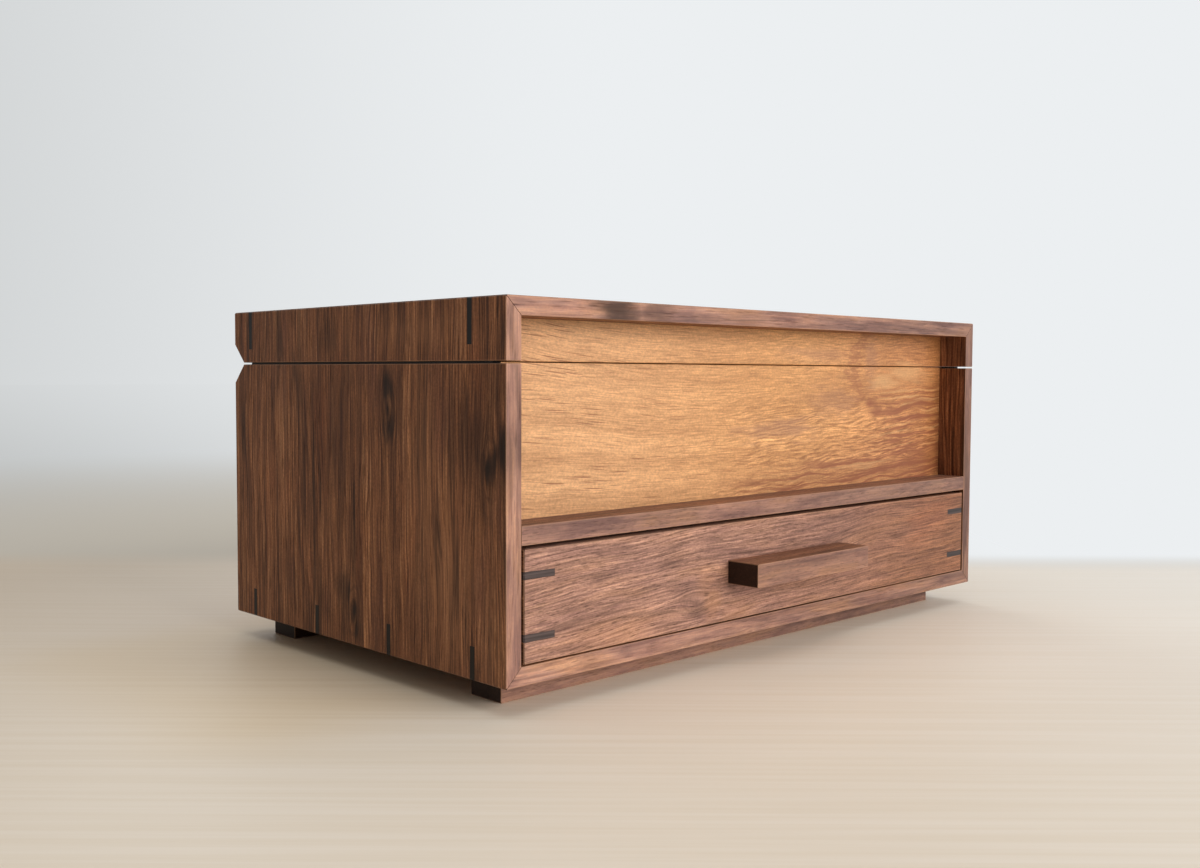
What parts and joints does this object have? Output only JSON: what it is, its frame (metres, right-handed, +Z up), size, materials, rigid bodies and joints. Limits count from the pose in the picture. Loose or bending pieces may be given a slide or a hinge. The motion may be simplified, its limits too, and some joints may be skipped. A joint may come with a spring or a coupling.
{
  "type": "watch box with drawer",
  "caption": "Free-standing wooden watch box: mitred case with dark splines, hinged lid over a lined tray of pillow places, and a full-width drawer with a bar handle.",
  "frame": {"origin": "on the floor under the middle of the whole box, handle included", "axes": "+Z up, +X to the right seen from the front, the drawer front faces -Y"},
  "size_m": [0.36, 0.2356, 0.1665],
  "materials": {
    "walnut": "oiled walnut, satin",
    "figured_wood": "oiled golden figured wood, satin",
    "ebony": "oiled dark wood, satin",
    "brass": "brushed brass",
    "steel": "plain steel screw",
    "suede": "soft suede cover",
    "pillow_suede": "soft suede cover, stuffed",
    "felt": "thin wool felt",
    "birch_ply": "sanded birch plywood"
  },
  "bodies": {
    "case": {"case_side_left": "walnut", "case_side_right": "walnut", "case_bottom": "walnut", "shelf": "walnut", "front_panel": "figured_wood", "back_panel": "figured_wood", "case_splines_left": "ebony", "case_splines_right": "ebony", "foot_rail_front": "walnut", "foot_rail_rear": "walnut", "seat_strip_left": "felt", "seat_strip_right": "felt", "liner_front": "suede", "liner_back": "suede", "liner_left": "suede", "liner_right": "suede", "tray_floor_pad": "suede", "divider_long": "suede", "hinge_leaf_case_left": "brass", "hinge_leaf_case_right": "brass", "hinge_pin_left": "brass", "hinge_pin_right": "brass", "hinge_screws_case": "brass", "divider_cross_1": "suede", "divider_cross_2": "suede", "divider_cross_3": "suede", "divider_cross_4": "suede", "divider_cross_5": "suede", "watch_pillow_1": "pillow_suede", "watch_pillow_2": "pillow_suede", "watch_pillow_3": "pillow_suede", "watch_pillow_4": "pillow_suede", "watch_pillow_5": "pillow_suede", "watch_pillow_6": "pillow_suede", "watch_pillow_7": "pillow_suede", "watch_pillow_8": "pillow_suede", "watch_pillow_9": "pillow_suede", "watch_pillow_10": "pillow_suede", "watch_pillow_11": "pillow_suede", "watch_pillow_12": "pillow_suede"},
    "lid": {"lid_top": "walnut", "lid_side_left": "walnut", "lid_side_right": "walnut", "lid_front_panel": "figured_wood", "lid_back_panel": "figured_wood", "lid_splines_left": "ebony", "lid_splines_right": "ebony", "lid_lining": "suede", "hinge_leaf_lid_left": "brass", "hinge_leaf_lid_right": "brass", "hinge_screws_lid": "brass"},
    "drawer": {"drawer_front": "walnut", "drawer_side_left": "walnut", "drawer_side_right": "walnut", "drawer_back": "walnut", "drawer_bottom": "birch_ply", "drawer_splines": "ebony", "drawer_lining": "felt", "drawer_handle": "walnut", "handle_screws": "steel"}
  },
  "joints": [
    {"name": "lid_hinge", "type": "hinge", "parent": "case", "child": "lid", "pos_m": [0, 0.10825, 0.14045], "axis": [-1, 0, 0], "range_deg": [0, 90]},
    {"name": "drawer_slide", "type": "slide", "parent": "case", "child": "drawer", "axis": [0, -1, 0], "range_m": [0, 0.15]}
  ]
}
